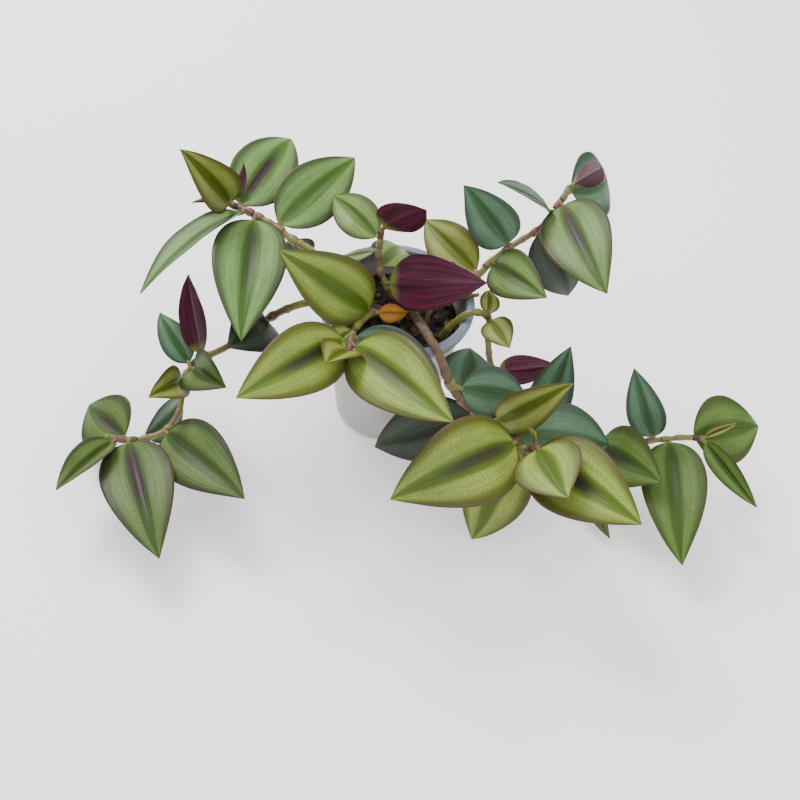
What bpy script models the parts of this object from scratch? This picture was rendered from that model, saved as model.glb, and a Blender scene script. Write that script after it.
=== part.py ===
"""A potted tradescantia: a small tapered nursery pot, its soil, the trailing stems and their leaves.

Metres, +Z up. The origin is the centre of the pot's flat base, and the pot's base is at z = 0.
A stem is a list of the points that it grows through, in millimetres, counted from the soil.
A leaf grows at one of those points, with its own length, width and direction.
"""

import math
from collections import namedtuple

import bmesh
import bpy
from mathutils import Matrix, Vector

MM = 0.001
CLEARANCE = 0.3  # mm between neighbouring solids

# Pot, mm
POT_HEIGHT = 66.0
RIM_RADIUS = 31.5
BASE_RADIUS = 20.5
WALL = 1.0
RIM_WIDTH = 2.6
RIM_DROP = 4.0
FLOOR = 1.4
DRAIN_HOLES = 6
DRAIN_RADIUS = 1.9
DRAIN_CIRCLE = 14.0
POT_SIDES = 64

# Soil, mm
SOIL_TOP = 55.0
SOIL_BUMP = 0.9
SOIL_SIDES = 40

# Leaves and stems, mm
LEAF_THICKNESS = 0.8
BASE_HALF_WIDTH = 1.5
TIP_HALF_WIDTH = 0.35
LEAF_STEPS = 8
LEAF_STRIPS = 4
STEM_STEP = 4.0
STEM_TAPER = 0.3

Colour = namedtuple("Colour", "rgb roughness")
COLOURS = {
    "pot": Colour((0.62, 0.61, 0.59), 0.45),
    "soil": Colour((0.035, 0.024, 0.017), 0.95),
    "stem": Colour((0.22, 0.17, 0.07), 0.55),
    "woody_stem": Colour((0.20, 0.12, 0.07), 0.8),
    "leaf": Colour((0.24, 0.36, 0.14), 0.42),
    "purple_leaf": Colour((0.20, 0.03, 0.09), 0.42),
}

# Every stem as (radius, points). A fork starts at a point of the stem that carries it.
STEMS = {
    "back_left": (1.7, [(-16, -9, 71), (-32, 1, 81), (-44, 6, 84), (-50, 9, 86), (-59, 13, 87),
                        (-63, 14, 88), (-66, 15, 88), (-69, 15, 89)]),
    "centre": (1.4, [(-1, 4, 46), (-1, 4, 52), (-1, 4, 59), (-3, 0, 68), (-5, -1, 74), (-8, 1, 80),
                     (-9, 4, 86), (-9, 6, 90), (-9, 8, 93)]),
    "front_left": (1.5, [(-8, -6, 46), (-8, -6, 52), (-8, -6, 59), (-8, -13, 69), (-10, -22, 75),
                         (-13, -30, 77), (-14, -34, 77), (-14, -38, 77), (-14, -42, 77)]),
    "left": (1.7, [(-14, 5, 46), (-14, 5, 52), (-14, 5, 59), (-16, -9, 71), (-34, -16, 72),
                   (-48, -17, 62), (-64, -17, 43), (-75, -18, 34), (-79, -20, 30), (-81, -24, 27),
                   (-81, -29, 24), (-81, -37, 21), (-85, -45, 18), (-93, -50, 17), (-98, -52, 18),
                   (-102, -53, 19), (-106, -54, 21)]),
    "back_right": (1.6, [(16, 13, 46), (16, 13, 52), (17, 13, 59), (25, 7, 70), (31, 9, 76), (35, 13, 80),
                         (42, 20, 83), (52, 27, 88), (57, 33, 92), (59, 37, 95), (61, 40, 97),
                         (62, 43, 98)]),
    "front": (2.0, [(5, 2, 46), (5, 2, 52), (5, 1, 59), (11, -18, 71), (19, -31, 70), (26, -36, 58),
                    (32, -37, 51), (38, -38, 47), (44, -40, 45), (50, -44, 45), (54, -48, 46),
                    (57, -52, 47), (60, -56, 54)]),
    "right": (1.5, [(20, -8, 46), (20, -8, 52), (21, -8, 59), (29, -6, 69), (37, -3, 65), (39, -1, 50),
                    (44, 0, 31), (57, -10, 21), (66, -15, 20), (77, -20, 19), (88, -22, 20),
                    (99, -22, 22), (113, -19, 24), (119, -18, 25), (125, -17, 26), (132, -17, 27)]),
}

Leaf = namedtuple("Leaf", "node length width heading rise roll arch fold droop", defaults=(2, 10, 0))
# node: the stem's point that the leaf grows at. length and width in mm.
# heading, rise: where the tip lies from the base, in degrees. roll: the blade turned about that line.
# arch: how far the midrib bows up, mm. fold: the V between the halves, degrees. droop: the tip, mm.
LEAVES = {
    "back_left": [
        Leaf(2, 24, 17, 75, -65, 140, 1, 0),
        Leaf(3, 48, 25, 60, 5, 25, 3, 12),
        Leaf(4, 56, 29, -85, -10, -5, 5, 12),
        Leaf(5, 52, 20, -125, -10, 25, 3, 30),
        Leaf(6, 50, 26, 75, 0, 20, 3, 10, 3),
        Leaf(7, 36, 22, -145, 60, -75, 2, 40),
    ],
    "centre": [
        Leaf(3, 15, 13, 30, 5, -120, 1, 5),
        Leaf(4, 46, 22, -25, 30, -125, -4),
        Leaf(5, 24, 17, 75, -20, 15),
        Leaf(6, 22, 15, 180, -30, 20, 1, 0),
        Leaf(7, 28, 17, 135, 0, -30, 3, 15),
        Leaf(8, 27, 18, -35, 50, -60, 1),
    ],
    "front_left": [
        Leaf(3, 50, 26, -160, 45, -60, 4, 12),
        Leaf(5, 22, 12, -160, -40, -40, 1, 5),
        Leaf(6, 38, 22, -5, -25, 45, 3),
        Leaf(6, 50, 26, -130, 5, -30, 3, 12),
        Leaf(7, 54, 28, -45, 10, 30, 4, 12),
        Leaf(8, 20, 17, -110, 30, 0, 1, 25),
    ],
    "left": [
        Leaf(5, 30, 24, -110, 20, -35, 3, 15),
        Leaf(7, 32, 14, 115, 50, -150, 1, 15),
        Leaf(8, 24, 13, 135, 25, -20, 2, 12),
        Leaf(8, 26, 22, -45, 25, 40, 2, 35),
        Leaf(9, 26, 16, -110, 30, -45, 2, 30),
        Leaf(12, 50, 27, -40, 10, 25, 4, 12),
        Leaf(13, 32, 18, 75, -15, 70, 2, 25),
        Leaf(14, 56, 29, -65, 0, 5, 5, 15),
        Leaf(14, 26, 26, 140, -10, -30, 2, 12),
        Leaf(15, 36, 16, -110, 15, 5, 1, 35),
    ],
    "back_right": [
        Leaf(4, 32, 20, 135, 5, -40, 3, 15),
        Leaf(5, 32, 20, -50, 15, 45, 3, 12),
        Leaf(6, 32, 21, 175, 50, -65, 2, 20),
        Leaf(7, 36, 22, 0, -60, 70, 4, 12),
        Leaf(8, 30, 16, -160, 35, 10, 1, 20),
        Leaf(9, 50, 28, -70, 0, 30, 4, 12),
        Leaf(10, 26, 28, 50, -15, 45, 3, 15),
        Leaf(11, 22, 15, -50, 55, -85, 1, 50),
    ],
    "front": [
        Leaf(5, 30, 21, 20, -20, 45, 3),
        Leaf(6, 30, 24, 90, -5, 10, 2),
        Leaf(7, 48, 26, 175, -40, -50, 3),
        Leaf(8, 36, 19, 0, 50, 60, 3, 30),
        Leaf(9, 46, 30, 20, -20, 45, 5),
        Leaf(10, 58, 34, -140, 5, -30, 5, 12),
        Leaf(10, 46, 27, -120, -65, -15, 4),
        Leaf(11, 50, 31, -40, 10, 30, 4, 12),
        Leaf(12, 29, 27, -70, 15, 25, 1, 12),
    ],
    "right": [
        Leaf(8, 38, 19, 60, 75, 15, 2, 20),
        Leaf(9, 42, 12, -60, -20, 30, 1, 15),
        Leaf(10, 34, 27, -45, 20, 40, 4),
        Leaf(12, 34, 16, 150, 60, -60, 2, 15),
        Leaf(13, 54, 27, -85, -10, 15, 5, 15),
        Leaf(14, 32, 30, 25, -5, 30, 3, 12),
        Leaf(15, 33, 12, -50, -10, 40, 2, 35),
    ],
}


def collection(name):
    made = bpy.data.collections.new(name)
    bpy.context.scene.collection.children.link(made)
    return made


def material(name):
    made = bpy.data.materials.new(name)
    made.use_nodes = True
    shader = made.node_tree.nodes["Principled BSDF"]
    shader.inputs["Base Color"].default_value = (*COLOURS[name].rgb, 1)
    shader.inputs["Roughness"].default_value = COLOURS[name].roughness
    shader.inputs["Metallic"].default_value = 0
    return made


def mesh_object(name, bm, holder, finish):
    data = bpy.data.meshes.new(name)
    bm.to_mesh(data)
    bm.free()
    obj = bpy.data.objects.new(name, data)
    holder.objects.link(obj)
    data.materials.append(finish)
    return obj


def cut(obj, cutter):
    modifier = obj.modifiers.new("cut_" + cutter.name, "BOOLEAN")
    modifier.operation = "DIFFERENCE"
    modifier.solver = "EXACT"
    modifier.object = cutter


def cylinder_cutter(name, radius, bottom, top, place, holder):
    """An upright cylinder, in millimetres, that only cuts."""
    bm = bmesh.new()
    bmesh.ops.create_cone(bm, cap_ends=True, segments=16, radius1=radius * MM, radius2=radius * MM,
                          depth=(top - bottom) * MM)
    data = bpy.data.meshes.new(name)
    bm.to_mesh(data)
    bm.free()
    obj = bpy.data.objects.new(name, data)
    obj.location = Vector((place[0], place[1], (top + bottom) / 2)) * MM
    obj.hide_render = True
    obj.display_type = "WIRE"
    holder.objects.link(obj)
    return obj


def turned(name, profile, sides, holder, finish):
    """A profile of (radius, height) points in millimetres, turned about Z."""
    bm = bmesh.new()
    points = [bm.verts.new((r * MM, 0, z * MM)) for r, z in profile]
    for first, second in zip(points, points[1:]):
        bm.edges.new((first, second))
    obj = mesh_object(name, bm, holder, finish)
    screw = obj.modifiers.new("turn", "SCREW")
    screw.axis = "Z"
    screw.steps = screw.render_steps = sides
    screw.use_merge_vertices = True
    screw.merge_threshold = 0.00001
    return obj


def wall_radius(height):
    """The outside of the pot's tapered wall."""
    top = RIM_RADIUS - RIM_WIDTH
    return BASE_RADIUS + (top - BASE_RADIUS) * height / POT_HEIGHT


def make_pot(holder, cutters):
    inner = RIM_RADIUS - RIM_WIDTH - WALL
    skirt = POT_HEIGHT - RIM_DROP
    profile = [
        (0, FLOOR),
        (wall_radius(FLOOR) - WALL, FLOOR),
        (inner, POT_HEIGHT - 0.8),
        (inner + 0.8, POT_HEIGHT),
        (RIM_RADIUS - 0.9, POT_HEIGHT),
        (RIM_RADIUS, POT_HEIGHT - 0.9),
        (RIM_RADIUS - 0.2, skirt),
        (RIM_RADIUS - 1.1, skirt),
        (wall_radius(skirt), skirt + 0.6),
        (wall_radius(2), 2),
        (BASE_RADIUS - 1.2, 0),
        (0, 0),
    ]
    pot = turned("pot", profile[::-1], POT_SIDES, holder, material("pot"))
    for number in range(DRAIN_HOLES):
        angle = 2 * math.pi * number / DRAIN_HOLES
        place = (DRAIN_CIRCLE * math.cos(angle), DRAIN_CIRCLE * math.sin(angle))
        cut(pot, cylinder_cutter(f"drain_{number}", DRAIN_RADIUS, -2, FLOOR + 2, place, cutters))
    return pot


def soil_height(x, y):
    """A lumpy top, lower towards the pot's wall."""
    lumps = math.sin(x * 0.55 + 0.7) * math.cos(y * 0.48) + 0.6 * math.sin(x * 0.9 - y * 0.7)
    return SOIL_TOP + SOIL_BUMP * lumps - 0.0016 * (x * x + y * y)


def make_soil(holder, cutters):
    """The root ball fills the pot to its top, with a pocket for each planted stem."""
    bottom = FLOOR + CLEARANCE
    reach = wall_radius(SOIL_TOP) - WALL - 0.5
    foot = wall_radius(bottom) - WALL - 0.5
    rings = [reach * share for share in (0.2, 0.4, 0.6, 0.8, 1.0)]
    bm = bmesh.new()
    centre = bm.verts.new((0, 0, soil_height(0, 0) * MM))
    turns = [2 * math.pi * k / SOIL_SIDES for k in range(SOIL_SIDES)]
    loops = []
    for radius in rings:
        places = [(radius * math.cos(a), radius * math.sin(a)) for a in turns]
        loops.append([bm.verts.new((x * MM, y * MM, soil_height(x, y) * MM)) for x, y in places])
    loops.append([bm.verts.new((foot * math.cos(a) * MM, foot * math.sin(a) * MM, bottom * MM))
                  for a in turns])
    for k in range(SOIL_SIDES):
        after = (k + 1) % SOIL_SIDES
        bm.faces.new((centre, loops[0][k], loops[0][after]))
        for inside, outside in zip(loops, loops[1:]):
            bm.faces.new((inside[k], outside[k], outside[after], inside[after]))
    bm.faces.new(loops[-1][::-1])
    soil = mesh_object("soil", bm, holder, material("soil"))
    for name, (radius, points) in STEMS.items():
        if points[0][2] < SOIL_TOP:
            low = points[0][2] - CLEARANCE
            cut(soil, cylinder_cutter("pocket_" + name, radius + 3 * CLEARANCE, low, SOIL_TOP + 8,
                                      points[0], cutters))
    return soil


def smooth_points(points):
    """Points on one smooth curve through the stem's own points, about STEM_STEP apart."""
    knots = [Vector(p) for p in points]
    ends = [2 * knots[0] - knots[1], *knots, 2 * knots[-1] - knots[-2]]
    made = []
    for before, start, end, after in zip(ends, ends[1:], ends[2:], ends[3:]):
        steps = max(1, round((end - start).length / STEM_STEP))
        for step in range(steps):
            t = step / steps
            made.append(0.5 * (2 * start + (end - before) * t
                               + (2 * before - 5 * start + 4 * end - after) * t * t
                               + (3 * start - before - 3 * end + after) * t * t * t))
    return [*made, knots[-1]]


def stem_curve(name, radius, points, holder, finish):
    data = bpy.data.curves.new(name, "CURVE")
    data.dimensions = "3D"
    data.bevel_depth = radius * MM
    data.bevel_resolution = 2
    data.use_fill_caps = True
    spline = data.splines.new("POLY")
    route = smooth_points(points)
    spline.points.add(len(route) - 1)
    for number, (place, point) in enumerate(zip(route, spline.points)):
        point.co = (*(place * MM), 1)
        point.radius = 1 - STEM_TAPER * number / len(route)
    data.materials.append(finish)
    obj = bpy.data.objects.new(name, data)
    holder.objects.link(obj)
    return obj


def as_mesh(obj):
    """A curve turned into a closed mesh, so that it can be joined with another."""
    bpy.context.view_layer.update()
    evaluated = obj.evaluated_get(bpy.context.evaluated_depsgraph_get())
    data = bpy.data.meshes.new_from_object(evaluated)
    bm = bmesh.new()
    bm.from_mesh(data)
    bmesh.ops.remove_doubles(bm, verts=bm.verts, dist=0.00001)
    bm.to_mesh(data)
    bm.free()
    name, holder = obj.name, obj.users_collection[0]
    bpy.data.objects.remove(obj)
    made = bpy.data.objects.new(name, data)
    holder.objects.link(made)
    return made


def make_stems(holder, cutters):
    green, woody = material("stem"), material("woody_stem")
    for name, (radius, points) in STEMS.items():
        if name != "back_left":
            stem_curve(name + "_stem", radius, points, holder, woody if name == "front" else green)
    fork = as_mesh(stem_curve("fork", *STEMS["back_left"], cutters, green))
    fork.hide_render = True
    fork.display_type = "WIRE"
    trunk = as_mesh(bpy.data.objects["left_stem"])
    join = trunk.modifiers.new("fork", "BOOLEAN")
    join.operation = "UNION"
    join.solver = "EXACT"
    join.object = fork


def half_width(share, leaf):
    """An ovate outline: round at the base, widest before the middle, drawn out to a point."""
    widest = 0.38
    power = 0.62
    taper = power * (1 - widest) / widest
    outline = (share / widest) ** power * ((1 - share) / (1 - widest)) ** taper
    clasp = BASE_HALF_WIDTH * (1 - share) ** 6
    return max(leaf.width / 2 * outline, clasp, TIP_HALF_WIDTH)


def leaf_point(share, across, leaf):
    """A point of the blade in the leaf's own frame: X to the tip, Y to the left, Z out of its top."""
    half = half_width(share, leaf)
    angle = math.radians(leaf.fold)
    side = abs(across) * half
    bow = leaf.arch * 4 * share * (1 - share) - leaf.droop * share ** 4
    crown = -0.12 * half * across * across * min(1, 4 * share)
    return Vector((leaf.length * share,
                   math.copysign(side * math.cos(angle), across),
                   bow + side * math.sin(angle) + crown))


def leaf_frame(leaf):
    """The leaf's rotation: heading about Z, rise, then roll about its own length."""
    return (Matrix.Rotation(math.radians(leaf.heading), 3, "Z")
            @ Matrix.Rotation(math.radians(-leaf.rise), 3, "Y")
            @ Matrix.Rotation(math.radians(leaf.roll), 3, "X"))


def leaf_base(name, leaf):
    """Where the blade starts: just clear of the stem, on the side that it grows to."""
    thickest, points = STEMS[name]
    knots = [Vector(p) for p in points]
    last = len(knots) - 1
    along = (knots[min(leaf.node + 1, last)] - knots[leaf.node - 1]).normalized()
    frame = leaf_frame(leaf)
    out, side = frame.col[0], frame.col[1]
    away = out - along * out.dot(along)
    gap = CLEARANCE + LEAF_THICKNESS / 2
    radius = thickest * (1 - STEM_TAPER * leaf.node / last)
    reach = (radius + gap + 0.6 * BASE_HALF_WIDTH * abs(side.dot(away.normalized()))) / max(away.length, 0.45)
    if leaf.node == last and out.dot(along) > 0:
        reach = min(reach, (gap + BASE_HALF_WIDTH * abs(side.dot(along))) / out.dot(along))
    return knots[leaf.node] + out * reach


def make_leaf(name, stem, leaf, holder, finish):
    bm = bmesh.new()
    rows = []
    for step in range(LEAF_STEPS + 1):
        share = (step / LEAF_STEPS) ** 1.15
        across = [2 * k / LEAF_STRIPS - 1 for k in range(LEAF_STRIPS + 1)]
        rows.append([bm.verts.new(leaf_point(share, a, leaf) * MM) for a in across])
    for near, far in zip(rows, rows[1:]):
        for k in range(LEAF_STRIPS):
            bm.faces.new((near[k], far[k], far[k + 1], near[k + 1]))
    obj = mesh_object(name, bm, holder, finish)
    obj.location = leaf_base(stem, leaf) * MM
    obj.rotation_mode = "QUATERNION"
    obj.rotation_quaternion = leaf_frame(leaf).to_quaternion()
    shell = obj.modifiers.new("thickness", "SOLIDIFY")
    shell.thickness = LEAF_THICKNESS * MM
    shell.offset = 0
    return obj


def main():
    for old in list(bpy.data.objects):
        bpy.data.objects.remove(old)
    plant = collection("potted_tradescantia")
    cutters = collection("cutters")
    make_pot(plant, cutters)
    make_soil(plant, cutters)
    make_stems(plant, cutters)
    green, purple = material("leaf"), material("purple_leaf")
    for stem, leaves in LEAVES.items():
        for number, leaf in enumerate(leaves, 1):
            seen_below = abs(leaf.roll) > 80
            make_leaf(f"{stem}_leaf_{number}", stem, leaf, plant, purple if seen_below else green)


main()
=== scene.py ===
"""Looks for the potted tradescantia: leaves, stems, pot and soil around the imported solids."""

import math
import random
from collections import namedtuple

import bpy
from mathutils import Matrix, Vector, noise


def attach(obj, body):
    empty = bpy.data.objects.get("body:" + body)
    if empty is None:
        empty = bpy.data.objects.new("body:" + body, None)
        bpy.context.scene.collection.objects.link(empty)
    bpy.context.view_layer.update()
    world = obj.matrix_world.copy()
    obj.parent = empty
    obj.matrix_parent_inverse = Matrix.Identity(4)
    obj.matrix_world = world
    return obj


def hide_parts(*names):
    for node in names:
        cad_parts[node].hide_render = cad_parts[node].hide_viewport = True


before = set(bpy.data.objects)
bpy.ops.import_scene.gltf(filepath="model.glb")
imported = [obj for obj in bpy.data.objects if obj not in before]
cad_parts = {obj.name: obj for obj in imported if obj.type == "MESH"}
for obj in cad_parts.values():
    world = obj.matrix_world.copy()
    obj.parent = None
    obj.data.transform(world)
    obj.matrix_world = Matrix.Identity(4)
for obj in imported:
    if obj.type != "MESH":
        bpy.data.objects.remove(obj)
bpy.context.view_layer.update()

MM = 0.001
CLEARANCE = 0.3
LEAF_THICKNESS = 0.8  # of a packed leaf: with CLEARANCE it sets how far off its stem a blade starts
BASE_HALF_WIDTH = 1.5
STEM_TAPER = 0.3
POT_HEIGHT = 66.0
POT_BASE_RADIUS = 20.5
POT_TOP_RADIUS = 28.9
SOIL_TOP = 55.0
JOINT_GAP = 15.0
WOODY_JOINT_GAP = 3.4
WOODY_STEM = "front"
CRUMB_REACH = 25.5
FAINT_STREAK = 0.12
CAMERA_DOWN = 49.3  # degrees below the horizon
CAMERA_ROLL = 8

# Every stem as (radius, points), millimetres. A fork starts at a point of the stem that carries it.
STEMS = {
    "back_left": (1.7, [(-16, -9, 71), (-32, 1, 81), (-44, 6, 84), (-50, 9, 86), (-59, 13, 87),
                        (-63, 14, 88), (-66, 15, 88), (-69, 15, 89)]),
    "centre": (1.4, [(-1, 4, 46), (-1, 4, 52), (-1, 4, 59), (-3, 0, 68), (-5, -1, 74), (-8, 1, 80),
                     (-9, 4, 86), (-9, 6, 90), (-9, 8, 93)]),
    "front_left": (1.5, [(-8, -6, 46), (-8, -6, 52), (-8, -6, 59), (-8, -13, 69), (-10, -22, 75),
                         (-13, -30, 77), (-14, -34, 77), (-14, -38, 77), (-14, -42, 77)]),
    "left": (1.7, [(-14, 5, 46), (-14, 5, 52), (-14, 5, 59), (-16, -9, 71), (-34, -16, 72),
                   (-48, -17, 62), (-64, -17, 43), (-75, -18, 34), (-79, -20, 30), (-81, -24, 27),
                   (-81, -29, 24), (-81, -37, 21), (-85, -45, 18), (-93, -50, 17), (-98, -52, 18),
                   (-102, -53, 19), (-106, -54, 21)]),
    "back_right": (1.6, [(16, 13, 46), (16, 13, 52), (17, 13, 59), (25, 7, 70), (31, 9, 76), (35, 13, 80),
                         (42, 20, 83), (52, 27, 88), (57, 33, 92), (59, 37, 95), (61, 40, 97),
                         (62, 43, 98)]),
    "front": (2.0, [(5, 2, 46), (5, 2, 52), (5, 1, 59), (11, -18, 71), (19, -31, 70), (26, -36, 58),
                    (32, -37, 51), (38, -38, 47), (44, -40, 45), (50, -44, 45), (54, -48, 46),
                    (57, -52, 47), (60, -56, 54)]),
    "right": (1.5, [(20, -8, 46), (20, -8, 52), (21, -8, 59), (29, -6, 69), (37, -3, 65), (39, -1, 50),
                    (44, 0, 31), (57, -10, 21), (66, -15, 20), (77, -20, 19), (88, -22, 20),
                    (99, -22, 22), (113, -19, 24), (119, -18, 25), (125, -17, 26), (132, -17, 27)]),
}

Leaf = namedtuple("Leaf", "node length width heading rise roll arch fold droop", defaults=(2, 10, 0))
LEAVES = {
    "back_left": [
        Leaf(2, 24, 17, 75, -65, 140, 1, 0),
        Leaf(3, 48, 25, 60, 5, 25, 3, 12),
        Leaf(4, 56, 29, -85, -10, -5, 5, 12),
        Leaf(5, 52, 20, -125, -10, 25, 3, 30),
        Leaf(6, 50, 26, 75, 0, 20, 3, 10, 3),
        Leaf(7, 36, 22, -145, 60, -75, 2, 40),
    ],
    "centre": [
        Leaf(3, 15, 13, 30, 5, -120, 1, 5),
        Leaf(4, 46, 22, -25, 30, -125, -4),
        Leaf(5, 24, 17, 75, -20, 15),
        Leaf(6, 22, 15, 180, -30, 20, 1, 0),
        Leaf(7, 28, 17, 135, 0, -30, 3, 15),
        Leaf(8, 27, 18, -35, 50, -60, 1),
    ],
    "front_left": [
        Leaf(3, 50, 26, -160, 45, -60, 4, 12),
        Leaf(5, 22, 12, -160, -40, -40, 1, 5),
        Leaf(6, 38, 22, -5, -25, 45, 3),
        Leaf(6, 50, 26, -130, 5, -30, 3, 12),
        Leaf(7, 54, 28, -45, 10, 30, 4, 12),
        Leaf(8, 20, 17, -110, 30, 0, 1, 25),
    ],
    "left": [
        Leaf(5, 30, 24, -110, 20, -35, 3, 15),
        Leaf(7, 32, 14, 115, 50, -150, 1, 15),
        Leaf(8, 24, 13, 135, 25, -20, 2, 12),
        Leaf(8, 26, 22, -45, 25, 40, 2, 35),
        Leaf(9, 26, 16, -110, 30, -45, 2, 30),
        Leaf(12, 50, 27, -40, 10, 25, 4, 12),
        Leaf(13, 32, 18, 75, -15, 70, 2, 25),
        Leaf(14, 56, 29, -65, 0, 5, 5, 15),
        Leaf(14, 26, 26, 140, -10, -30, 2, 12),
        Leaf(15, 36, 16, -110, 15, 5, 1, 35),
    ],
    "back_right": [
        Leaf(4, 32, 20, 135, 5, -40, 3, 15),
        Leaf(5, 32, 20, -50, 15, 45, 3, 12),
        Leaf(6, 32, 21, 175, 50, -65, 2, 20),
        Leaf(7, 36, 22, 0, -60, 70, 4, 12),
        Leaf(8, 30, 16, -160, 35, 10, 1, 20),
        Leaf(9, 50, 28, -70, 0, 30, 4, 12),
        Leaf(10, 26, 28, 50, -15, 45, 3, 15),
        Leaf(11, 22, 15, -50, 55, -85, 1, 50),
    ],
    "front": [
        Leaf(5, 30, 21, 20, -20, 45, 3),
        Leaf(6, 30, 24, 90, -5, 10, 2),
        Leaf(7, 48, 26, 175, -40, -50, 3),
        Leaf(8, 36, 19, 0, 50, 60, 3, 30),
        Leaf(9, 46, 30, 20, -20, 45, 5),
        Leaf(10, 58, 34, -140, 5, -30, 5, 12),
        Leaf(10, 46, 27, -120, -65, -15, 4),
        Leaf(11, 50, 31, -40, 10, 30, 4, 12),
        Leaf(12, 29, 27, -70, 15, 25, 1, 12),
    ],
    "right": [
        Leaf(8, 38, 19, 60, 75, 15, 2, 20),
        Leaf(9, 42, 12, -60, -20, 30, 1, 15),
        Leaf(10, 34, 27, -45, 20, 40, 4),
        Leaf(12, 34, 16, 150, 60, -60, 2, 15),
        Leaf(13, 54, 27, -85, -10, 15, 5, 15),
        Leaf(14, 32, 30, 25, -5, 30, 3, 12),
        Leaf(15, 33, 12, -50, -10, 40, 2, 35),
    ],
}

# A tint is (silver band, green centre, margin). A stem's leaves share one, apart from SPECIAL and YOUNG.
TINTS = {
    "back_left": ((0.165, 0.29, 0.085), (0.052, 0.125, 0.010), (0.035, 0.068, 0.014)),
    "centre": ((0.20, 0.30, 0.08), (0.06, 0.13, 0.010), (0.05, 0.080, 0.012)),
    "front_left": ((0.27, 0.36, 0.065), (0.085, 0.15, 0.006), (0.085, 0.095, 0.008)),
    "left": ((0.105, 0.165, 0.040), (0.035, 0.070, 0.007), (0.028, 0.045, 0.009)),
    "back_right": ((0.16, 0.26, 0.080), (0.055, 0.105, 0.012), (0.045, 0.066, 0.011)),
    "front": ((0.29, 0.37, 0.07), (0.08, 0.14, 0.006), (0.085, 0.090, 0.008)),
    "right": ((0.115, 0.20, 0.038), (0.045, 0.095, 0.008), (0.045, 0.072, 0.008)),
}
BLUE = ((0.11, 0.215, 0.13), (0.040, 0.105, 0.035), (0.036, 0.078, 0.050))
DARK = ((0.050, 0.075, 0.052), (0.020, 0.036, 0.013), (0.018, 0.028, 0.018))
YELLOW = ((0.27, 0.31, 0.075), (0.10, 0.13, 0.004), (0.085, 0.075, 0.005))
SPECIAL = {
    "front_left_leaf_3": BLUE, "left_leaf_7": BLUE, "left_leaf_3": BLUE, "back_right_leaf_3": BLUE,
    "back_right_leaf_5": BLUE, "back_right_leaf_7": BLUE, "front_leaf_1": BLUE, "front_leaf_2": BLUE,
    "front_leaf_5": BLUE, "right_leaf_1": BLUE, "right_leaf_4": BLUE, "left_leaf_1": DARK,
    "front_leaf_3": DARK, "back_right_leaf_4": DARK, "back_left_leaf_1": DARK, "back_left_leaf_6": YELLOW,
    "front_leaf_4": YELLOW, "back_right_leaf_1": YELLOW, "front_left_leaf_6": YELLOW, "left_leaf_5": YELLOW,
}
ORANGE = ((0.50, 0.24, 0.03), (0.42, 0.17, 0.015), (0.30, 0.10, 0.012))
STREAK_COLOUR = (0.030, 0.008, 0.020)
LEAF_RIM_COLOUR = (0.10, 0.035, 0.045)
UNDERSIDE_DARK = (0.040, 0.0035, 0.014)
UNDERSIDE_LIGHT = (0.095, 0.008, 0.035)
UNDERSIDE_BASE = (0.16, 0.20, 0.03)
POT_RIM_COLOUR = (0.20, 0.225, 0.285)
# Buds and young or withered leaves that are only trim: (stem, leaf, tint)
YOUNG = [
    ("right", Leaf(4, 11, 9, 95, 12, 15, 1, 15), YELLOW),
    ("right", Leaf(4, 17, 13, -62, 6, 20, 1, 12), YELLOW),
    ("front_left", Leaf(3, 12, 8, 20, -10, 60, 1, 10), ORANGE),
    ("back_left", Leaf(7, 14, 5, -160, 8, 20, 1, 50), YELLOW),
    ("back_left", Leaf(7, 15, 6, 75, 42, 170, 1, 40), YELLOW),
    ("back_right", Leaf(4, 16, 9, -178, 4, 160, 1, 10), DARK),
    ("front", Leaf(12, 8, 4, 150, 50, 0, 1, 40), YELLOW),
    ("right", Leaf(6, 24, 13, 12, 8, -150, 2, 10), DARK),
    ("right", Leaf(15, 14, 6, 20, 25, 20, 1, 45), YELLOW),
    ("centre", Leaf(8, 8, 4, 60, 20, 20, 1, 20), BLUE),
]
# How strong the dark purple streak along a leaf's middle is, where it is more than FAINT_STREAK
STREAKS = {
    "back_left_leaf_5": 0.95, "back_left_leaf_3": 0.45, "front_left_leaf_4": 0.8, "front_left_leaf_5": 0.55,
    "left_leaf_8": 0.95, "left_leaf_9": 0.7, "back_right_leaf_6": 0.8, "front_leaf_6": 0.7,
    "front_leaf_8": 0.85, "right_leaf_3": 0.6, "back_right_leaf_4": 0.5, "back_right_leaf_2": 0.5,
}


def nodes_of(name):
    made = bpy.data.materials.new(name)
    made.use_nodes = True
    tree = made.node_tree
    shader = tree.nodes["Principled BSDF"]
    return made, tree, shader


def add(tree, kind, **sockets):
    node = tree.nodes.new(kind)
    for key, value in sockets.items():
        node.inputs[key.replace("_", " ")].default_value = value
    return node


def math_node(tree, operation, a, b=None, clamp=False):
    node = tree.nodes.new("ShaderNodeMath")
    node.operation = operation
    node.use_clamp = clamp
    for index, value in enumerate((a, b)):
        if value is None:
            continue
        if isinstance(value, (int, float)):
            node.inputs[index].default_value = value
        else:
            tree.links.new(value, node.inputs[index])
    return node.outputs[0]


def smooth(tree, value, low, high):
    node = tree.nodes.new("ShaderNodeMapRange")
    node.interpolation_type = "SMOOTHSTEP"
    node.inputs["From Min"].default_value = low
    node.inputs["From Max"].default_value = high
    tree.links.new(value, node.inputs["Value"])
    return node.outputs[0]


def mix(tree, factor, a, b):
    node = tree.nodes.new("ShaderNodeMix")
    node.data_type = "RGBA"
    if isinstance(factor, (int, float)):
        node.inputs[0].default_value = factor
    else:
        tree.links.new(factor, node.inputs[0])
    for socket, value in ((node.inputs[6], a), (node.inputs[7], b)):
        if isinstance(value, tuple):
            socket.default_value = (*value, 1)
        else:
            tree.links.new(value, socket)
    return node.outputs[2]


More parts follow.
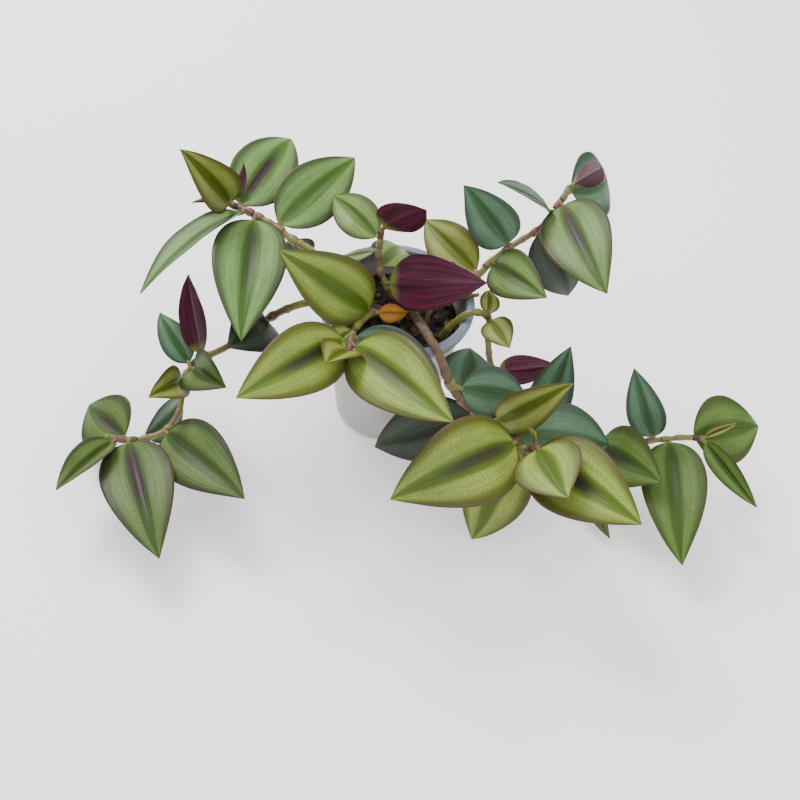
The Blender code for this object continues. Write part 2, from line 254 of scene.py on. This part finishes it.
def stretched_noise(tree, vector, scale, detail=3):
    mapping = tree.nodes.new("ShaderNodeMapping")
    mapping.inputs["Scale"].default_value = scale
    tree.links.new(vector, mapping.inputs["Vector"])
    made = add(tree, "ShaderNodeTexNoise", Scale=1.0, Detail=detail, Roughness=0.6)
    tree.links.new(mapping.outputs[0], made.inputs["Vector"])
    return made.outputs[0]


def leaf_material(name, tint, streak, number):
    """Silver bands beside a green centre, a darker margin and a purple underside, drawn by the leaf's UVs."""
    silver, centre, margin = tint
    made, tree, shader = nodes_of(name)
    uv = tree.nodes.new("ShaderNodeUVMap").outputs[0]
    parts = tree.nodes.new("ShaderNodeSeparateXYZ")
    tree.links.new(uv, parts.inputs[0])
    along, across = parts.outputs[0], parts.outputs[1]
    signed = math_node(tree, "SUBTRACT", math_node(tree, "MULTIPLY", across, 2.0), 1.0)
    side = math_node(tree, "ABSOLUTE", signed)
    shifted = tree.nodes.new("ShaderNodeVectorMath")
    shifted.inputs[1].default_value = (number * 3.7, number * 1.3, 0)
    tree.links.new(uv, shifted.inputs[0])
    place = shifted.outputs[0]
    fibres = stretched_noise(tree, place, (2.2, 46, 1), 4)
    veins = stretched_noise(tree, place, (1.2, 17, 1), 2)
    # fine flecks: they break up the silver bands, vary the roughness and place a painted glint
    flecks_and_painted_glint = stretched_noise(tree, place, (55, 95, 1), 2)
    patches = stretched_noise(tree, place, (2.5, 3, 1), 2)
    fray = math_node(tree, "MULTIPLY", math_node(tree, "SUBTRACT", fibres, 0.5), 0.17)
    wavy = math_node(tree, "ADD", side, fray)
    inner = smooth(tree, wavy, 0.17, 0.36)
    outer = smooth(tree, wavy, 0.90, 0.56)
    band = math_node(tree, "MULTIPLY", inner, outer)
    band = math_node(tree, "MULTIPLY", band, smooth(tree, flecks_and_painted_glint, 0.15, 0.62))
    green = mix(tree, smooth(tree, wavy, 0.35, 0.75), centre, margin)
    lines = smooth(tree, veins, 0.42, 0.62)
    green = mix(tree, math_node(tree, "MULTIPLY", lines, 0.35), green, tuple(c * 0.6 for c in margin))
    greyed = tuple(0.62 * s + 0.3 * c for s, c in zip(silver, centre))
    silvery = mix(tree, math_node(tree, "MULTIPLY", lines, 0.55), silver, greyed)
    # painted glint: the silver is made brighter in fine flecks
    silvery = mix(tree, smooth(tree, flecks_and_painted_glint, 0.52, 0.75), silvery, tuple(min(1, c * 1.42) for c in silver))
    top = mix(tree, band, green, silvery)
    blotch = math_node(tree, "MULTIPLY", smooth(tree, patches, 0.4, 0.7), 0.35)
    top = mix(tree, blotch, top, tuple(c * 0.8 for c in centre))
    core = smooth(tree, wavy, 0.24, 0.06)
    fade = math_node(tree, "MULTIPLY", smooth(tree, along, 0.02, 0.18), smooth(tree, along, 0.75, 0.45))
    stain = math_node(tree, "MULTIPLY", math_node(tree, "MULTIPLY", core, fade), streak)
    top = mix(tree, stain, top, STREAK_COLOUR)
    # painted shade: the narrow crease along the middle of the blade is darkened
    crease_shade = math_node(tree, "MULTIPLY", smooth(tree, side, 0.035, 0.0), 0.55)
    top = mix(tree, crease_shade, top, tuple(c * 0.45 for c in centre))
    rim = math_node(tree, "MULTIPLY", smooth(tree, side, 0.93, 0.99), 0.75)
    top = mix(tree, rim, top, LEAF_RIM_COLOUR)
    below = mix(tree, smooth(tree, veins, 0.4, 0.65), UNDERSIDE_DARK, UNDERSIDE_LIGHT)
    below = mix(tree, smooth(tree, along, 0.16, 0.02), below, UNDERSIDE_BASE)
    face = tree.nodes.new("ShaderNodeAttribute")
    face.attribute_name = "underside"
    colour = mix(tree, face.outputs["Fac"], top, below)
    tree.links.new(colour, shader.inputs["Base Color"])
    rough = math_node(tree, "ADD", math_node(tree, "MULTIPLY", flecks_and_painted_glint, 0.22), 0.36)
    tree.links.new(rough, shader.inputs["Roughness"])
    shader.inputs["Subsurface Weight"].default_value = 0.06
    shader.inputs["Subsurface Radius"].default_value = (0.002, 0.003, 0.001)
    shader.inputs["Specular IOR Level"].default_value = 0.28
    ridges = math_node(tree, "MULTIPLY", veins, 0.9)
    height = math_node(tree, "ADD", ridges, math_node(tree, "MULTIPLY", fibres, 0.35))
    bump = add(tree, "ShaderNodeBump", Strength=0.45, Distance=0.0006)
    tree.links.new(height, bump.inputs["Height"])
    tree.links.new(bump.outputs[0], shader.inputs["Normal"])
    return made


def plain_material(name, colours, scale, roughness, bump_size, bump_strength=0.5, stretch=(1, 1, 1)):
    """Two colours in clouds, a third in fine flecks over them, and a fine bump."""
    made, tree, shader = nodes_of(name)
    place = tree.nodes.new("ShaderNodeTexCoord").outputs["Object"]
    clouds = stretched_noise(tree, place, tuple(scale * s for s in stretch), 5)
    fine = stretched_noise(tree, place, tuple(scale * 6 * s for s in stretch), 3)
    colour = mix(tree, smooth(tree, clouds, 0.35, 0.65), colours[0], colours[1])
    colour = mix(tree, math_node(tree, "MULTIPLY", smooth(tree, fine, 0.5, 0.75), 0.5), colour, colours[2])
    tree.links.new(colour, shader.inputs["Base Color"])
    rough = math_node(tree, "ADD", math_node(tree, "MULTIPLY", fine, 0.2), roughness - 0.1)
    tree.links.new(rough, shader.inputs["Roughness"])
    bump = add(tree, "ShaderNodeBump", Strength=bump_strength, Distance=bump_size)
    tree.links.new(fine, bump.inputs["Height"])
    tree.links.new(bump.outputs[0], shader.inputs["Normal"])
    return made


def shaded(name, verts, faces, material, flags=None, uvs=None):
    """A smooth-shaded mesh. flags mark the vertices of a leaf's underside."""
    data = bpy.data.meshes.new(name)
    data.from_pydata([tuple(v) for v in verts], [], faces)
    data.materials.append(material)
    for polygon in data.polygons:
        polygon.use_smooth = True
    if uvs:
        layer = data.uv_layers.new(name="UVMap")
        for loop in data.loops:
            layer.data[loop.index].uv = uvs[loop.vertex_index]
    if flags:
        mark = data.attributes.new("underside", "FLOAT", "POINT")
        for index, value in enumerate(flags):
            mark.data[index].value = value
    made = bpy.data.objects.new(name, data)
    bpy.context.scene.collection.objects.link(made)
    return made


def half_width(share, leaf):
    """An ovate outline with a round base and a drawn-out tip."""
    widest = 0.38
    power = 0.56
    taper = power * (1 - widest) / widest * 1.05
    outline = (share / widest) ** power * ((1 - share) / (1 - widest)) ** taper
    clasp = BASE_HALF_WIDTH * (1 - share) ** 6
    return max(leaf.width / 2 * min(outline, 1.02), clasp, 0.12)


def leaf_point(share, across, leaf, seed, lift):
    """A point of the blade in its own frame: a channel, veins, a rippled edge, and most tips hooked."""
    half = half_width(share, leaf)
    angle = math.radians(leaf.fold)
    side = abs(across) * half
    bow = leaf.arch * 4 * share * (1 - share) - leaf.droop * share ** 4
    crown = -0.12 * half * across * across * min(1, 4 * share)
    channel = -0.55 * math.exp(-(across / 0.10) ** 2) * math.sin(math.pi * min(1, share * 1.1))
    ripple = 0.5 * noise.noise(Vector((share * 4 + seed, across * 1.2, seed * 0.7))) * abs(across) ** 2
    veins = 0.07 * math.cos(across * 26) * (1 - abs(across)) * math.sin(math.pi * share)
    hook = (seed % 3 - 1) * 0.5 * max(0, share - 0.82) ** 2 * 40
    return Vector((leaf.length * share,
                   math.copysign(side * math.cos(angle), across) + hook,
                   bow + side * math.sin(angle) + crown + channel + ripple + veins + lift))


def leaf_frame(leaf):
    """Heading about Z, rise, then roll about the leaf's own length."""
    return (Matrix.Rotation(math.radians(leaf.heading), 3, "Z")
            @ Matrix.Rotation(math.radians(-leaf.rise), 3, "Y")
            @ Matrix.Rotation(math.radians(leaf.roll), 3, "X"))


def leaf_base(name, leaf):
    """Where the blade starts, and the joint, direction and radius of the stem there."""
    thickest, points = STEMS[name]
    knots = [Vector(p) for p in points]
    last = len(knots) - 1
    along = (knots[min(leaf.node + 1, last)] - knots[leaf.node - 1]).normalized()
    frame_axes = leaf_frame(leaf)
    out, side = frame_axes.col[0], frame_axes.col[1]
    away = out - along * out.dot(along)
    gap = CLEARANCE + LEAF_THICKNESS / 2
    radius = thickest * (1 - STEM_TAPER * leaf.node / last)
    reach = (radius + gap + 0.6 * BASE_HALF_WIDTH * abs(side.dot(away.normalized()))) / max(away.length, 0.45)
    if leaf.node == last and out.dot(along) > 0:
        reach = min(reach, (gap + BASE_HALF_WIDTH * abs(side.dot(along))) / out.dot(along))
    return knots[leaf.node] + out * reach, knots[leaf.node], along, radius


def make_leaf(stem, number, leaf, extra=None):
    """A thin curved blade with a thick middle, a rippled edge and its stalk clasping the stem."""
    name = f"{stem}_young_leaf_{number}" if extra else f"{stem}_leaf_{number}"
    seed = sum(ord(c) for c in name) % 97
    turn, (base, node, along, radius) = leaf_frame(leaf), leaf_base(stem, leaf)
    steps, strips = 36, 22
    verts, uvs, flags, faces = [], [], [], []
    for face, sign in ((0, 1), (1, -1)):
        for step in range(steps + 1):
            share = (step / steps) ** 1.2
            for k in range(strips + 1):
                across = 2 * k / strips - 1
                thick = sign * 0.16 * (1 + 0.8 * math.exp(-(across / 0.15) ** 2)) * (1 - 0.5 * share)
                verts.append((base + turn @ leaf_point(share, across, leaf, seed, thick)) * MM)
                uvs.append((share, (across + 1) / 2))
                flags.append(float(face))
    row, sheet = strips + 1, (steps + 1) * (strips + 1)
    for step in range(steps):
        for k in range(strips):
            a = step * row + k
            faces.append((a, a + row, a + row + 1, a + 1))
            b = a + sheet
            faces.append((b, b + 1, b + row + 1, b + row))
    edge = list(range(row)) + [s * row + strips for s in range(1, steps + 1)]
    edge += [steps * row + k for k in range(strips - 1, -1, -1)] + [s * row for s in range(steps - 1, 0, -1)]
    for a, b in zip(edge, edge[1:] + edge[:1]):
        faces.append((a, b, b + sheet, a + sheet))
    tint = extra or SPECIAL.get(name, TINTS[stem])
    blade = shaded(name + "_blade", verts, faces,
                   leaf_material(name, tint, STREAKS.get(name, FAINT_STREAK), seed), flags, uvs)
    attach(blade, "root")
    if not extra:
        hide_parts(name)
    make_sheath(name, base, node, along, radius, turn)


def tube(name, path, radii, sides, material, uneven=0.0):
    """A closed tube through points in millimetres, with its own radius at each."""
    verts, faces = [], []
    side = Vector((0.31, 0.87, 0.38))
    for index, (point, radius) in enumerate(zip(path, radii)):
        ahead = path[min(index + 1, len(path) - 1)] - path[max(index - 1, 0)]
        ahead.normalize()
        side = (side - ahead * side.dot(ahead)).normalized()
        other = ahead.cross(side)
        for k in range(sides):
            turn = 2 * math.pi * k / sides
            out = side * math.cos(turn) + other * math.sin(turn)
            wobble = 1 + uneven * noise.noise(point * 0.6 + out * 2)
            verts.append((point + out * radius * wobble) * MM)
    for index in range(len(path) - 1):
        for k in range(sides):
            a, b = index * sides + k, index * sides + (k + 1) % sides
            faces.append((a, b, b + sides, a + sides))
    faces.append(tuple(range(sides))[::-1])
    faces.append(tuple(range((len(path) - 1) * sides, len(path) * sides)))
    return shaded(name, verts, faces, material)


def make_sheath(name, base, node, along, radius, turn):
    """The leaf's own stalk: it wraps the stem at the joint and narrows into the base of the blade."""
    blade = base + turn @ Vector((1.6, 0, 0.1))
    start = node - along * 3.6
    path = [start.lerp(node, t / 4) for t in range(4)]
    radii = [radius * 1.12, radius * 1.22, radius * 1.28, radius * 1.22]
    path += [node.lerp(blade, t / 4) for t in range(5)]
    radii += [radius * 1.1, radius * 0.9, radius * 0.7, radius * 0.45, 0.3]
    made = tube(name + "_sheath", path, radii, 14, SHEATH, 0.1)
    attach(made, "root")


def smooth_points(points, gap=0.8):
    """Points on one smooth curve through the given ones."""
    knots = [Vector(p) for p in points]
    ends = [2 * knots[0] - knots[1], *knots, 2 * knots[-1] - knots[-2]]
    made = []
    for before, start, end, after in zip(ends, ends[1:], ends[2:], ends[3:]):
        steps = max(1, round((end - start).length / gap))
        for step in range(steps):
            t = step / steps
            made.append(0.5 * (2 * start + (end - before) * t
                               + (2 * before - 5 * start + 4 * end - after) * t * t
                               + (3 * start - before - 3 * end + after) * t * t * t))
    return [*made, knots[-1]]


def make_stem(name, material):
    """A tapered tube with a swelling every JOINT_GAP, or a fine ring every WOODY_JOINT_GAP if woody."""
    thickest, points = STEMS[name]
    path = smooth_points(points)
    radii = []
    travelled = 0
    woody = name == WOODY_STEM
    joint = WOODY_JOINT_GAP if woody else JOINT_GAP
    for index, point in enumerate(path):
        if index:
            travelled += (point - path[index - 1]).length
        near = abs((travelled / joint + 0.5) % 1 - 0.5) * joint
        swell = 0.1 * math.exp(-(near / 0.5) ** 2) if woody else 0.22 * math.exp(-(near / 0.9) ** 2)
        radii.append(thickest * (1 - STEM_TAPER * index / len(path)) * (0.97 + swell))
    return tube(name + "_stem_live", path, radii, 20, material, 0.08)


def ring_mesh(name, profile, sides, material, wave=0.0):
    """A closed profile turned about Z, with a slight moulded unevenness."""
    verts, faces = [], []
    for r, z in profile:
        for k in range(sides):
            turn = 2 * math.pi * k / sides
            out = r + wave * noise.noise(Vector((math.cos(turn) * 2, math.sin(turn) * 2, z * 0.08)))
            verts.append(Vector((out * math.cos(turn), out * math.sin(turn), z)) * MM)
    count = len(profile)
    for index in range(count):
        for k in range(sides):
            a, b = index * sides + k, index * sides + (k + 1) % sides
            c, d = ((index + 1) % count) * sides + (k + 1) % sides, ((index + 1) % count) * sides + k
            faces.append((a, b, c, d))
    return shaded(name, verts, faces, material)


def make_pot():
    """A tapered wall, a rolled rim and a flat base."""
    def wall(z):
        return POT_BASE_RADIUS + (POT_TOP_RADIUS - POT_BASE_RADIUS) * z / POT_HEIGHT

    profile = [(0.4, 0.0), (17.0, 0.0), (19.2, 0.0), (20.0, 0.5), (wall(2), 2)]
    profile += [(wall(z), z) for z in range(4, 60, 4)]
    profile += [(wall(60) + 0.1, 60.5), (wall(62) + 0.3, 61.9), (30.4, 62.0), (31.2, 62.3), (31.4, 63.2),
                (31.5, 64.9), (31.2, 65.6), (30.6, 65.95), (29.4, 66.0), (28.5, 65.9), (28.05, 65.4),
                (27.8, 64.6)]
    profile += [(wall(z) - 1.0, z) for z in range(62, 2, -4)]
    profile += [(wall(1.4) - 1.2, 1.5), (0.4, 1.4)]
    pot = ring_mesh("pot_shell", profile, 128, POT, 0.12)
    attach(pot, "root")
    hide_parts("pot")


def soil_height(x, y):
    lumps = math.sin(x * 0.55 + 0.7) * math.cos(y * 0.48) + 0.6 * math.sin(x * 0.9 - y * 0.7)
    return SOIL_TOP + 0.9 * lumps - 0.0016 * (x * x + y * y)


def make_soil():
    """The root ball, its top broken up into fine grains."""
    rings, sides = 46, 120
    reach = POT_BASE_RADIUS + (POT_TOP_RADIUS - POT_BASE_RADIUS) * SOIL_TOP / POT_HEIGHT - 1.5
    verts, faces = [Vector((0, 0, soil_height(0, 0))) * MM], []
    for ring in range(1, rings + 1):
        radius = reach * ring / rings
        for k in range(sides):
            turn = 2 * math.pi * k / sides
            x, y = radius * math.cos(turn), radius * math.sin(turn)
            grain = noise.fractal(Vector((x * 0.55, y * 0.55, 3)), 0.7, 2.1, 6) * 1.1
            verts.append(Vector((x, y, soil_height(x, y) + grain)) * MM)
    for k in range(sides):
        faces.append((0, 1 + k, 1 + (k + 1) % sides))
    for ring in range(rings - 1):
        for k in range(sides):
            a, b = 1 + ring * sides + k, 1 + ring * sides + (k + 1) % sides
            faces.append((a, a + sides, b + sides, b))
    top = 1 + (rings - 1) * sides
    low = len(verts)
    for k in range(sides):
        turn = 2 * math.pi * k / sides
        verts.append(Vector((19.2 * math.cos(turn), 19.2 * math.sin(turn), 1.8)) * MM)
    for k in range(sides):
        faces.append((top + k, low + k, low + (k + 1) % sides, top + (k + 1) % sides))
    faces.append(tuple(range(low, low + sides))[::-1])
    soil = shaded("soil_top", verts, faces, SOIL)
    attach(soil, "root")
    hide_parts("soil")


def make_crumbs():
    """Bark chips, crumbs and a few perlite grains, pressed into the soil."""
    chance = random.Random(7)
    for name, count, sizes, material in (("crumbs", 420, (0.5, 1.5), SOIL), ("bark", 70, (1.2, 3.2), BARK),
                                         ("perlite", 16, (0.5, 0.9), PERLITE)):
        verts, faces = [], []
        for _ in range(count):
            radius, turn = CRUMB_REACH * math.sqrt(chance.random()), chance.uniform(0, 2 * math.pi)
            x, y = radius * math.cos(turn), radius * math.sin(turn)
            size = chance.uniform(*sizes)
            flat = Matrix.Diagonal(Vector((1, chance.uniform(0.4, 0.9), chance.uniform(0.3, 0.7))))
            spin = Matrix.Rotation(chance.uniform(0, 6.3), 3, "Z")
            spin = spin @ Matrix.Rotation(chance.uniform(-0.6, 0.6), 3, "X")
            first = len(verts)
            middle = Vector((x, y, soil_height(x, y) + size * 0.25))
            for lat in range(1, 4):
                for k in range(6):
                    a, b = math.pi * lat / 4, math.pi * k / 3
                    v = Vector((math.sin(a) * math.cos(b), math.sin(a) * math.sin(b), math.cos(a)))
                    v *= size * chance.uniform(0.75, 1.15)
                    verts.append((middle + spin @ (flat @ v)) * MM)
            for lat in range(2):
                for k in range(6):
                    a, b = first + lat * 6 + k, first + lat * 6 + (k + 1) % 6
                    faces.append((a, a + 6, b + 6, b))
            faces.append(tuple(range(first, first + 6)))
            faces.append(tuple(range(first + 12, first + 18))[::-1])
        made = shaded("soil_" + name, verts, faces, material)
        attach(made, "root")


def make_stub():
    """An old cut stem and a runner over the soil, and a young shoot that stands in it."""
    stub = tube("cut_stub", [Vector(p) for p in ((-11, -5, 63), (-7, -6, 64), (-2, -8, 64), (3, -9, 63))],
                [1.7, 1.9, 1.8, 1.9], 18, WOOD, 0.25)
    runner_path = smooth_points([(8, 0, 58), (12, 3, 60), (19, 5, 62), (26, 5, 66), (32, 4, 70)])
    runner = tube("runner", runner_path, [0.8] * len(runner_path), 12, SHEATH, 0.15)
    sprout_path = smooth_points([(13, -3, 54), (13, -2, 58), (14, 0, 62)])
    sprout = tube("sprout", sprout_path, [1.0] * len(sprout_path), 12, STEM, 0.15)
    for made in (stub, runner, sprout):
        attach(made, "root")


SHEATH = plain_material("sheath", ((0.16, 0.17, 0.03), (0.14, 0.05, 0.05), (0.20, 0.21, 0.05)),
                        120, 0.45, 0.0003)
STEM = plain_material("stem", ((0.17, 0.19, 0.03), (0.13, 0.075, 0.035), (0.08, 0.05, 0.03)),
                      90, 0.45, 0.0003)
WOOD = plain_material("woody_stem", ((0.14, 0.085, 0.05), (0.075, 0.045, 0.03), (0.22, 0.15, 0.09)),
                      260, 0.75, 0.0006)
POT = plain_material("pot", ((0.45, 0.43, 0.41), (0.41, 0.39, 0.375), (0.47, 0.455, 0.44)),
                     40, 0.42, 0.00012, 0.25)
SOIL = plain_material("soil", ((0.012, 0.009, 0.007), (0.03, 0.02, 0.014), (0.055, 0.035, 0.022)),
                      300, 0.92, 0.0012, 0.9)
BARK = plain_material("bark", ((0.07, 0.036, 0.018), (0.13, 0.07, 0.035), (0.03, 0.018, 0.01)),
                      400, 0.85, 0.0008, 0.8)
PERLITE = plain_material("perlite", ((0.42, 0.38, 0.32), (0.34, 0.30, 0.25), (0.5, 0.46, 0.4)),
                         600, 0.8, 0.0004)


def tint_pot():
    """The wall is pale and slightly translucent, and the rim is a cooler blue-grey."""
    tree = POT.node_tree
    shader = tree.nodes["Principled BSDF"]
    height = tree.nodes.new("ShaderNodeSeparateXYZ")
    tree.links.new(tree.nodes.new("ShaderNodeTexCoord").outputs["Object"], height.inputs[0])
    before = shader.inputs["Base Color"].links[0].from_socket
    rim = smooth(tree, height.outputs[2], 0.0595, 0.0625)
    tree.links.new(mix(tree, rim, before, POT_RIM_COLOUR), shader.inputs["Base Color"])
    shader.inputs["Subsurface Weight"].default_value = 0.12
    shader.inputs["Subsurface Radius"].default_value = (0.004, 0.004, 0.004)


tint_pot()
make_pot()
make_soil()
make_crumbs()
make_stub()
for stem_name in STEMS:
    is_woody = stem_name == WOODY_STEM
    live = make_stem(stem_name, WOOD if is_woody else STEM)
    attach(live, "root")
    # The back left fork is part of the solid left_stem, so it has no node of its own
    if stem_name != "back_left":
        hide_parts(stem_name + "_stem")
for stem_name, leaves in LEAVES.items():
    for number, leaf in enumerate(leaves, 1):
        make_leaf(stem_name, number, leaf)

for number, (stem_name, leaf, tint) in enumerate(YOUNG, 1):
    make_leaf(stem_name, number, leaf, tint)

# Floor, camera and light
floor_data = bpy.data.meshes.new("floor")
floor_data.from_pydata([(-6, -6, 0), (6, -6, 0), (6, 6, 0), (-6, 6, 0)], [], [(0, 1, 2, 3)])
floor = bpy.data.objects.new("floor", floor_data)
bpy.context.scene.collection.objects.link(floor)
floor.location.z = -0.0004
paper, paper_tree, paper_shader = nodes_of("floor_paper")
paper_shader.inputs["Base Color"].default_value = (0.93, 0.93, 0.92, 1)
paper_shader.inputs["Roughness"].default_value = 0.9
paper_shader.inputs["Emission Color"].default_value = (1, 1, 1, 1)
paper_shader.inputs["Emission Strength"].default_value = 0.5
floor_data.materials.append(paper)

camera_data = bpy.data.cameras.new("camera")
camera_data.lens = 54
camera_data.sensor_width = 36
camera_data.clip_start = 0.01
camera = bpy.data.objects.new("camera", camera_data)
bpy.context.scene.collection.objects.link(camera)
pitch = Matrix.Rotation(math.radians(90 - CAMERA_DOWN), 4, "X")
tilt = Matrix.Rotation(math.radians(CAMERA_ROLL), 4, "Z")
camera.matrix_world = Matrix.Translation((0.007, -0.340, 0.400)) @ pitch @ tilt
bpy.context.scene.camera = camera


def area_light(name, place, size, power, colour):
    data = bpy.data.lights.new(name, "AREA")
    data.size = size
    data.energy = power
    data.color = colour
    light = bpy.data.objects.new(name, data)
    light.location = place
    light.rotation_mode = "QUATERNION"
    light.rotation_quaternion = (Vector((0, 0, 0.05)) - Vector(place)).to_track_quat("-Z", "Y")
    bpy.context.scene.collection.objects.link(light)


area_light("key", (-0.5, 0.5, 0.9), 0.45, 15, (1.0, 0.99, 0.97))
area_light("fill", (0.9, -0.7, 0.8), 1.2, 7, (0.97, 0.99, 1.0))
area_light("top", (0.0, -0.1, 1.5), 1.6, 10, (1, 1, 1))
world = bpy.data.worlds.new("studio")
world.use_nodes = True
world.node_tree.nodes["Background"].inputs["Color"].default_value = (1, 1, 1, 1)
world.node_tree.nodes["Background"].inputs["Strength"].default_value = 0.75
bpy.context.scene.world = world
